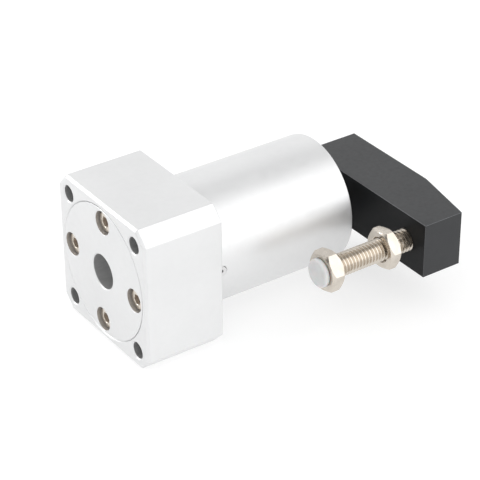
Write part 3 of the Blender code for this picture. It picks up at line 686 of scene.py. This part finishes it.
def rear_cover():
    """The round cover: flush face, centre hole, counterbores, spigot with its O-ring groove."""
    radius = radius_of("rear_cover")
    spigot_end = span("rear_cover", "x")[1]
    spigot_r = BORE_R - 0.2
    groove_start, groove_end, groove_r = COVER_GROOVE
    pocket, pocket_r = SHAFT_POCKET
    profile = [
        (0, 0),
        (0, radius - 0.1),
        (0.1, radius),
        (COVER_THICK, radius),
        (COVER_THICK, spigot_r),
        (groove_start, spigot_r),
        (groove_start, groove_r),
        (groove_end, groove_r),
        (groove_end, spigot_r),
        (spigot_end - 0.4, spigot_r),
        (spigot_end, spigot_r - 0.4),
        (spigot_end, pocket_r),
        (pocket, pocket_r),
        (pocket, 0),
    ]
    cover = turned("cover_plate", profile, placed(), ANODISED, FINE)
    hole, depth, edge = CENTRE_HOLE["radius"], CENTRE_HOLE["depth"], CENTRE_HOLE["chamfer"]
    centre = [(-1, 0), (-1, hole + edge + 1), (edge, hole), (depth, hole), (depth, 0)]
    # The centre hole's wall is painted darker as the shade inside it.
    tools = [
        turned("cover_centre", centre, placed(), ANODISED, ROUND, inside=(edge, depth + 1, CENTRE_HOLE_SHADE))
    ]
    counterbore = [
        (-1, 0),
        (-1, COUNTERBORE_R + 1.1),
        (0.1, COUNTERBORE_R),
        (COUNTERBORE_DEPTH, COUNTERBORE_R),
        (COUNTERBORE_DEPTH, SCREW_BORE_R),
        (COVER_THICK + 1, SCREW_BORE_R),
        (COVER_THICK + 1, 0),
    ]
    # The counterbores' walls are painted darker as the shade inside them.
    for node in COVER_SCREWS:
        place = placed(0, middle(node, "y"), middle(node, "z"))
        inside = (0.1, COVER_THICK + 1, COUNTERBORE_SHADE)
        tools.append(turned(f"bore_{node}", counterbore, place, ANODISED, SMALL, inside=inside))
    combine(cover, tools)
    finish_piece(cover, ["rear_cover"], "barrel")


def knurl(obj, start, end, radius, depth):
    """Presses straight grooves into a turned head's side, between two heights."""
    shrink = 1 - depth / radius
    for vertex in obj.data.vertices:
        x, y, z = (value / MM for value in vertex.co)
        column = round(math.atan2(y, x) / TAU * ROUND)
        if start <= z <= end and math.hypot(x, y) > radius - 0.05 and column % 2:
            vertex.co.x *= shrink
            vertex.co.y *= shrink


def socket_screw(name, place, length, head, shank_r):
    """A socket cap screw, from its head's top at 0 down to the shank's end."""
    head_r, height, socket = head["radius"], head["height"], head["socket"]
    knurl_start, knurl_end = 0.45, height - 0.35
    profile = [
        (0, 0),
        (0, head_r - 0.35),
        (0.08, head_r - 0.15),
        (0.3, head_r),
        (knurl_start, head_r),
        (knurl_end, head_r),
        (height - 0.15, head_r),
        (height, head_r - 0.15),
        (height, shank_r),
        (length - 0.3, shank_r),
        (length, shank_r - 0.3),
        (length, 0),
    ]
    screw = turned(name, profile, place, NICKEL, ROUND)
    knurl(screw, knurl_start, knurl_end, head_r, KNURL_DEPTH)
    corner = socket / 2 / math.cos(math.pi / 6)
    depth = height / 2
    prism = hexagon(socket, SOCKET_TURN)
    tip = [(-1, 0), (-1, socket / 2), (depth, socket / 2), (depth + 0.5, 0)]
    flare = [(-1, 0), (-1, corner + 1.05), (0.1, corner - 0.05), (0.1, 0)]
    # The socket's hollow and tip are painted darker as the shade inside the socket.
    tools = [
        lofted("socket_hollow", [(-1, prism), (depth, prism)], place, SOCKET_SHADE),
        turned("socket_tip", tip, place, SOCKET_SHADE, SMALL),
        turned("socket_mouth", flare, place, NICKEL, SMALL),
    ]
    return combine(screw, tools)


def cover_screws():
    """The four socket cap screws that hold the cover."""
    for node in COVER_SCREWS:
        top, end = span(node, "x")
        place = placed(top, middle(node, "y"), middle(node, "z"))
        screw = socket_screw(f"cap_{node}", place, end - top, SCREW_HEAD, SCREW_SHANK_R)
        finish_piece(screw, [node], "barrel")


def pin_plugs():
    """Set screws over the guide pins, threaded, with hexagon sockets."""
    for index, towards in ((1, "-Y"), (2, "+Y")):
        node = f"guide_pin_plug_{index}"
        low = min(abs(value) for value in span(node, "y"))
        high = BARREL_R - 0.08
        place = placed(middle(node, "x"), 0, 0, towards)
        size = (PLUG["radius"], PLUG["pitch"])
        plug = thread(f"set_screw_{index}", *size, low, high, place, MACHINED, ends=(0.3, 0.0))
        outline = hexagon(PLUG["socket"])
        depths = (high - PLUG["socket_depth"], high + 1)
        hollow = lofted("plug_hollow", [(x, outline) for x in depths], place, MACHINED)
        combine(plug, [hollow])
        finish_piece(plug, [node], "barrel")


# ---------------------------------------------------------------- rod end of the barrel

# The gland's outer groove, and the pockets inside it for the bush, the seal and the wiper. The
# bush's and the wiper's are open at one end, and the seal's is a groove.
GLAND_GROOVE = (56.0, 57.8, 12.9)
BUSH_POCKET = (57.9, 7.6)
SEAL_POCKET = (58.6, 60.2, 8.2)
WIPER_POCKET = (61.0, 8.5)

# The shallow ring turned in the gland's face, from its inner to its outer edge.
FACE_RING = (9.4, 12.6)
FACE_RING_DEPTH = 0.3

SNAP_RING = {"inner": 13.6, "ear": 11.6, "ear_corner": 0.6, "hole_circle": 13.0, "hole": 0.6}
SNAP_RING_GAP = math.radians(11)
SNAP_RING_EAR = math.radians(24)

# The rod's shoulder and nose, and the blind holes for the stud behind and the arm's screw.
ROD_SHOULDER = 70.6
ROD_NOSE_R = 4.4
STUD_HOLE = (48.6, 2.8)
ARM_SCREW_HOLE = (69.3, 2.2)

# The keyway's half width and floor, where the nose and the arm's bore are cut for the key.
KEYWAY_HALF = 1.45
KEYWAY_FLOOR = -3.0


def rod_gland():
    """The rod gland: a groove for its O-ring, pockets for its seals, and a ring in its face."""
    start, end = span("gland", "x")
    radius = radius_of("gland")
    clear_r = radius_of("piston_rod") + 0.3
    groove_start, groove_end, groove_r = GLAND_GROOVE
    bush_end, bush_r = BUSH_POCKET
    seal_start, seal_end, seal_r = SEAL_POCKET
    wiper_start, wiper_r = WIPER_POCKET
    ring_in, ring_out = FACE_RING
    depth = FACE_RING_DEPTH
    profile = [
        (start, bush_r),
        (start, radius - 0.3),
        (start + 0.3, radius),
        (groove_start, radius),
        (groove_start, groove_r),
        (groove_end, groove_r),
        (groove_end, radius),
        (end - 0.3, radius),
        (end, radius - 0.3),
        (end, ring_out),
        (end - depth, ring_out - 0.3),
        (end - depth, ring_in + 0.3),
        (end, ring_in),
        (end, 8.8),
        (end - 0.3, wiper_r),
        (wiper_start, wiper_r),
        (wiper_start, clear_r),
        (seal_end, clear_r),
        (seal_end, seal_r),
        (seal_start, seal_r),
        (seal_start, clear_r),
        (bush_end, clear_r),
        (bush_end, bush_r),
    ]
    gland = turned("rod_gland", profile, placed(), MACHINED, FINE, ring=True)
    finish_piece(gland, ["gland"], "barrel")


def wiper():
    """The rod wiper: a soft lip that stands out of the gland round the rod."""
    start, end = span("rod_wiper", "x")
    outer = radius_of("rod_wiper")
    rod_r = radius_of("piston_rod")
    profile = [
        (start, rod_r + 0.35),
        (start, outer),
        (end - 0.65, outer),
        (end - 0.5, outer - 0.1),
        (end - 0.06, rod_r + 0.6),
        (end, rod_r + 0.4),
        (end - 0.03, rod_r + 0.18),
        (end - 0.15, rod_r + 0.1),
        (end - 1.0, rod_r + 0.35),
    ]
    piece = turned("wiper_lip", profile, placed(), POLYURETHANE, FINE, ring=True)
    finish_piece(piece, ["rod_wiper"], "barrel", angle=50)


def ring_point(radius, angle):
    """A point by its angle from the top towards +Y, as local (x, y)."""
    return (-radius * math.cos(angle), radius * math.sin(angle))


def arc(radius, start, end, steps):
    """Points on an arc from one such angle to another."""
    return [ring_point(radius, start + (end - start) * i / steps) for i in range(steps + 1)]


def snap_ring():
    """The internal snap ring, open at the top, with a pierced ear each side of its gap."""
    start, end = span("gland_snap_ring", "x")
    outer, inner, ear_r = radius_of("gland_snap_ring"), SNAP_RING["inner"], SNAP_RING["ear"]
    gap, ear, soft = SNAP_RING_GAP, SNAP_RING_EAR, 0.04
    corner_r = ear_r + SNAP_RING["ear_corner"]
    outline = (
        arc(outer, gap, TAU - gap, FINE)
        + [ring_point(corner_r, TAU - gap)]
        + arc(ear_r, TAU - gap - soft, TAU - ear + soft, 4)
        + [ring_point(corner_r, TAU - ear)]
        + arc(inner, TAU - ear - soft, ear + soft, FINE)
        + [ring_point(corner_r, ear)]
        + arc(ear_r, ear - soft, gap + soft, 4)
        + [ring_point(corner_r, gap)]
    )
    piece = lofted("snap_ring", [(start, outline), (end, outline)], placed(), STEEL)
    tools = []
    for angle in ((gap + ear) / 2, -(gap + ear) / 2):
        circle = SNAP_RING["hole_circle"]
        y, z = circle * math.sin(angle), circle * math.cos(angle)
        hole = cylinder_profile(start - 1, end + 1, SNAP_RING["hole"])
        tools.append(turned("ear_hole", hole, placed(0, y, z), STEEL, TINY))
    combine(piece, tools)
    bevel_edges(piece, 0.1)
    finish_piece(piece, ["gland_snap_ring"], "barrel")


def rod():
    """The ground rod with its shoulder and the nose that carries the arm."""
    start, end = span("piston_rod", "x")
    radius = radius_of("piston_rod")
    shoulder, nose = ROD_SHOULDER, ROD_NOSE_R
    stud_hole, stud_r = STUD_HOLE
    screw_hole, screw_r = ARM_SCREW_HOLE
    profile = [
        (stud_hole, 0),
        (stud_hole, stud_r),
        (start, stud_r),
        (start, radius - 0.4),
        (start + 0.4, radius),
        (shoulder - 0.3, radius),
        (shoulder - 0.08, radius - 0.08),
        (shoulder, radius - 0.3),
        (shoulder, nose),
        (end - 0.35, nose),
        (end, nose - 0.35),
        (end, screw_r),
        (screw_hole, screw_r),
        (screw_hole, 0),
    ]
    piece = turned("ground_rod", profile, placed(), STEEL, FINE)
    low, high = span("arm_key", "x")[0] - 0.2, end + 1
    slot = key_slot(-radius)
    combine(piece, [lofted("keyway", [(low, slot), (high, slot)], placed(), STEEL)])
    finish_piece(piece, ["piston_rod"], "rod")


def key_slot(top):
    """The keyway's outline in local (x, y), where local x runs downwards."""
    half, floor = KEYWAY_HALF, KEYWAY_FLOOR
    return [(top, -half), (top, half), (floor, half), (floor, -half)]


# ---------------------------------------------------------------- clamp arm

ARM_KNEE_Y = -20.5
ARM_TIP_OUTER = 82.65
ARM_WEB = (77.7, 80.4)
ARM_BORE = {"seat": 4.6, "hole": 2.25, "sink": 4.3}
ARM_KEYWAY_TOP = -5.8
ARM_SCREW = {"radius": 3.5, "height": 4.0, "socket": 3.0}
ARM_SCREW_R = 2.0
BOLT_PITCH = 1.0
BOLT_R = 3.0
ARM_EDGE = 0.5
ARM_KNEE_R = 9.0


def bolt_axis():
    """The clamp bolt's axis, as y and z."""
    return middle("clamp_bolt", "y"), middle("clamp_bolt", "z")


def bevel_edges(obj, width, segments=2):
    """Rounds over an object's sharp edges by a width in mm."""
    bevel = obj.modifiers.new("Edges", "BEVEL")
    bevel.width = width * MM
    bevel.segments = segments
    bevel.limit_method = "ANGLE"
    bevel.angle_limit = math.radians(40)
    apply_modifiers(obj)


def arm_bore_cutter(inner, outer):
    """Seat for the rod's nose, web with the screw's hole, and the counterbore for its head."""
    seat, hole, sink = ARM_BORE["seat"], ARM_BORE["hole"], ARM_BORE["sink"]
    profile = [
        (inner - 1, 0),
        (inner - 1, seat + 1.3),
        (inner + 0.3, seat),
        (ARM_WEB[0], seat),
        (ARM_WEB[0], hole),
        (ARM_WEB[1], hole),
        (ARM_WEB[1], sink),
        (outer - 0.3, sink),
        (outer + 1, sink + 1.3),
        (outer + 1, 0),
    ]
    return turned("arm_bore", profile, placed(), BLACK, ROUND)


def clamp_arm():
    """A flat bar, thinner towards the tip on its outer side, with all its edges rounded over."""
    inner, outer = span("clamp_arm", "x")
    tip, root = span("clamp_arm", "y")
    low, high = span("clamp_arm", "z")
    corners = [(inner, root), (outer, root), (outer, ARM_KNEE_Y), (ARM_TIP_OUTER, tip), (inner, tip)]
    outline = rounded(corners, [0.15, 0.15, ARM_KNEE_R, 0.15, 0.15], steps=8)
    arm = lofted("arm_bar", [(low, outline), (high, outline)], placed(towards="+Z"), BLACK)
    merge_points(arm)
    bevel_edges(arm, ARM_EDGE, 4)
    y, z = bolt_axis()
    share = (ARM_KNEE_Y - y) / (ARM_KNEE_Y - tip)
    exit_x = outer - (outer - ARM_TIP_OUTER) * share
    bolt_in = [
        (inner - 1, 0),
        (inner - 1, BOLT_R + 1.2),
        (inner + 0.4, BOLT_R - 0.2),
        (inner + 0.4, 0),
    ]
    bolt_out = [
        (exit_x - 0.9, 0),
        (exit_x - 0.9, BOLT_R - 0.2),
        (exit_x + 1.5, BOLT_R + 2.2),
        (exit_x + 1.5, 0),
    ]
    place = placed(0, y, z)
    ends = (inner - 1, outer + 1)
    slot = key_slot(ARM_KEYWAY_TOP)
    tools = [
        arm_bore_cutter(inner, outer),
        thread("arm_thread", BOLT_R, BOLT_PITCH, *ends, place, BLACK, ease=0.1),
        turned("arm_hole_in", bolt_in, place, BLACK, SMALL),
        turned("arm_hole_out", bolt_out, place, BLACK, SMALL),
        lofted("arm_keyway", [(inner - 1, slot), (ARM_WEB[0], slot)], placed(), BLACK),
    ]
    combine(arm, tools)
    # The inner face gets the black with less sheen: painted shade on that side.
    paint_faces(arm, (-1, 0, 0), BLACK_SHADED_SIDE)
    # Bevels facing these ways get a lighter, glossier black: painted highlights along those edges.
    for edge in ((-1, 0, 1), (0, -1, 1), (-1, -1, 0)):
        paint_faces(arm, edge, BLACK_EDGE_HIGHLIGHT, within=0.97)
    finish_piece(arm, ["clamp_arm"], "rod", angle=38)


def paint_faces(obj, way, material, within=0.99):
    """Gives the faces that look one way in the model a material of their own."""
    obj.data.materials.append(material)
    slot = len(obj.data.materials) - 1
    turn = obj.matrix_world.to_3x3()
    for face in obj.data.polygons:
        if (turn @ face.normal).dot(Vector(way).normalized()) > within:
            face.material_index = slot


def merge_points(obj):
    """Merges points that a rounded outline puts on top of each other."""
    bm = bmesh.new()
    bm.from_mesh(obj.data)
    bmesh.ops.remove_doubles(bm, verts=bm.verts, dist=1e-6)
    bm.to_mesh(obj.data)
    bm.free()


def arm_fixing():
    """The socket screw and washer in the arm's counterbore."""
    end, top = span("arm_screw", "x")
    place = placed(top, towards="-X")
    screw = socket_screw("arm_cap_screw", place, top - end, ARM_SCREW, ARM_SCREW_R)
    finish_piece(screw, ["arm_screw"], "rod")
    low, high = span("arm_washer", "x")
    outer = radius_of("arm_washer")
    inner, edge = ARM_BORE["hole"], 0.15
    profile = [
        (low, inner),
        (low, outer - edge),
        (low + edge, outer),
        (high - edge, outer),
        (high, outer - edge),
        (high, inner),
    ]
    washer = turned("flat_washer", profile, placed(), NICKEL, ROUND, ring=True)
    finish_piece(washer, ["arm_washer"], "rod")


# ---------------------------------------------------------------- clamp bolt, nut and pad

HEX_FLATS = 9.8
HEX_TURN = math.radians(21)
HEX_CHAMFER = math.radians(36)
STEM_HOLE = {"radius": 1.45, "depth": 2.4}
PAD_STEM_R = 1.25
HEAD_END = 47.85
PAD_BACK = 43.95


def chamfered_hexagon(name, start, end, place):
    """A hexagon with its corners turned down at both ends."""
    corner = HEX_FLATS / 2 / math.cos(math.pi / 6)
    outline = hexagon(HEX_FLATS, HEX_TURN)
    obj = lofted(name, [(start, outline), (end, outline)], place, NICKEL)
    far_r = corner + 0.5
    face_r = HEX_FLATS / 2 - 0.15
    drop = (far_r - face_r) * math.tan(HEX_CHAMFER)
    profile = [
        (start, 0),
        (start, face_r),
        (start + drop, far_r),
        (end - drop, far_r),
        (end, face_r),
        (end, 0),
    ]
    return combine(obj, [turned("corner_turning", profile, place, NICKEL, ROUND)], "INTERSECT")


def clamp_bolt():
    """A hexagon head with a raised washer face under it, and a thread to its end."""
    start, end = span("clamp_bolt", "x")
    place = placed(0, *bolt_axis())
    bolt = chamfered_hexagon("hexagon_bolt", start, HEAD_END - 0.2, place)
    face = cylinder_profile(HEAD_END - 0.8, HEAD_END, HEX_FLATS / 2 - 0.25)
    ends = (HEAD_END - 0.5, end)
    shank = thread("bolt_shank", BOLT_R, BOLT_PITCH, *ends, place, NICKEL, ends=(0.0, 0.7))
    combine(bolt, [turned("washer_face", face, place, NICKEL, ROUND), shank], "UNION")
    stem = cylinder_profile(start - 1, start + STEM_HOLE["depth"], STEM_HOLE["radius"])
    combine(bolt, [turned("stem_hole", stem, place, NICKEL, SMALL)])
    finish_piece(bolt, ["clamp_bolt"], "bolt")


def lock_nut():
    """A hexagon nut, chamfered on both faces, with countersunk mouths."""
    start, end = span("lock_nut", "x")
    place = placed(0, *bolt_axis())
    nut = chamfered_hexagon("hexagon_nut", start, end, place)
    hole, flare = BOLT_R + 0.1, 0.35
    bore = [
        (start - 1, 0),
        (start - 1, hole + flare + 1),
        (start + flare, hole),
        (end - flare, hole),
        (end + 1, hole + flare + 1),
        (end + 1, 0),
    ]
    combine(nut, [turned("nut_bore", bore, place, NICKEL, SMALL)])
    finish_piece(nut, ["lock_nut"], "nut")


def bolt_pad():
    """The plastic pad: a crowned face, a rounded rim, and the stem that holds it."""
    face, stem_end = span("bolt_pad", "x")
    radius = radius_of("bolt_pad")
    crown, rim = 0.1, 0.65
    profile = [(face, 0), (face + crown * 0.2, radius * 0.45), (face + crown * 0.6, radius * 0.7)]
    for step in range(7):
        angle = math.pi / 2 * step / 6
        along = face + crown + rim * (1 - math.cos(angle))
        profile.append((along, radius - rim + rim * math.sin(angle)))
    profile += [
        (PAD_BACK - 0.15, radius),
        (PAD_BACK, radius - 0.15),
        (PAD_BACK, PAD_STEM_R),
        (stem_end, PAD_STEM_R),
        (stem_end, 0),
    ]
    pad = turned("pad_cap", profile, placed(0, *bolt_axis()), PAD, ROUND)
    finish_piece(pad, ["bolt_pad"], "pad", angle=60)


# ---------------------------------------------------------------- inner pieces


def paint_inner_nodes():
    """Gives the CAD pieces that stay as they are the material of their record slot."""
    slots = {entry["node"]: entry["material_slot"] for entry in frame["record"]["subparts"]}
    for node, obj in frame["nodes"].items():
        obj.data.materials.clear()
        obj.data.materials.append(SLOT_MATERIALS[slots[node]])


# ---------------------------------------------------------------- floor, light and camera

# Where the camera is, its angles in degrees, and its focal length on a 36 mm sensor.
CAMERA_FROM_FACE = (-203.2, -353.7, 257.6)
CAMERA_AZIMUTH = -34.67
CAMERA_ELEVATION = 31.45
CAMERA_ROLL = -0.37
CAMERA_LENS = 145.7
FLOOR_HALF = 3000

# The tent's even level, and its patches: direction, radius and softness in degrees, strength added.
SKY_LEVEL = 1.0
SKY_PATCHES = [
    ((0.485, -0.69, 0.53), 32, 12, 0.85),
    ((0.485, 0.14, 0.86), 16, 9, -0.5),
    ((0.485, 0.72, 0.50), 14, 8, 0.12),
    ((-0.52, 0.70, 0.485), 12, 8, 3.0),
    ((-0.86, -0.25, 0.43), 18, 9, 0.7),
    ((-0.97, 0.05, 0.22), 20, 6, -0.9),
]


def floor():
    """A wide, flat floor that touches the lowest point of the object."""
    bm = bmesh.new()
    bmesh.ops.create_grid(bm, x_segments=8, y_segments=8, size=FLOOR_HALF)
    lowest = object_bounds()[0][2]
    plane = add_object(bm, "floor", Matrix.Translation((0, 0, lowest)), [floor_material()])
    plane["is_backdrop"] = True


def patch(tree, way, direction, radius, soft):
    """1 inside a round patch of sky about a direction, 0 outside it; angles in degrees."""
    dot = tree.nodes.new("ShaderNodeVectorMath")
    dot.operation = "DOT_PRODUCT"
    dot.inputs[1].default_value = Vector(direction).normalized()
    tree.links.new(way, dot.inputs[0])
    edge = tree.nodes.new("ShaderNodeMapRange")
    edge.interpolation_type = "SMOOTHSTEP"
    edge.inputs["From Min"].default_value = math.cos(math.radians(radius + soft))
    edge.inputs["From Max"].default_value = math.cos(math.radians(radius - soft))
    tree.links.new(dot.outputs["Value"], edge.inputs["Value"])
    return edge.outputs["Result"]


def studio():
    """A white light tent: an even sky with softer and brighter patches in it."""
    sky = bpy.data.worlds.new("studio")
    sky.use_nodes = True
    tree = sky.node_tree
    way = tree.nodes.new("ShaderNodeTexCoord").outputs["Generated"]
    level = None
    for direction, radius, soft, strength in SKY_PATCHES:
        mask = patch(tree, way, direction, radius, soft)
        step = tree.nodes.new("ShaderNodeMath")
        step.operation = "MULTIPLY_ADD"
        tree.links.new(mask, step.inputs[0])
        step.inputs[1].default_value = strength
        if level is None:
            step.inputs[2].default_value = SKY_LEVEL
        else:
            tree.links.new(level, step.inputs[2])
        level = step.outputs["Value"]
    background = tree.nodes["Background"]
    background.inputs["Color"].default_value = (1, 1, 1, 1)
    tree.links.new(level, background.inputs["Strength"])
    bpy.context.scene.world = sky


def camera():
    """The camera, at the photograph's viewing angle."""
    data = bpy.data.cameras.new("camera")
    data.lens = CAMERA_LENS
    data.sensor_width = 36
    data.clip_end = 20
    obj = bpy.data.objects.new("camera", data)
    bpy.context.scene.collection.objects.link(obj)
    turn = Matrix.Rotation(math.radians(CAMERA_AZIMUTH), 4, "Z")
    tilt = Matrix.Rotation(math.radians(90 - CAMERA_ELEVATION), 4, "X")
    roll = Matrix.Rotation(math.radians(CAMERA_ROLL), 4, "Z")
    obj.matrix_world = Matrix.Translation(world(*CAMERA_FROM_FACE)) @ turn @ tilt @ roll
    bpy.context.scene.camera = obj


paint_inner_nodes()
machined_body()
rear_cover()
cover_screws()
pin_plugs()
rod_gland()
wiper()
snap_ring()
rod()
clamp_arm()
arm_fixing()
clamp_bolt()
lock_nut()
bolt_pad()
floor()
studio()
camera()
bpy.context.scene.view_settings.view_transform = "Standard"
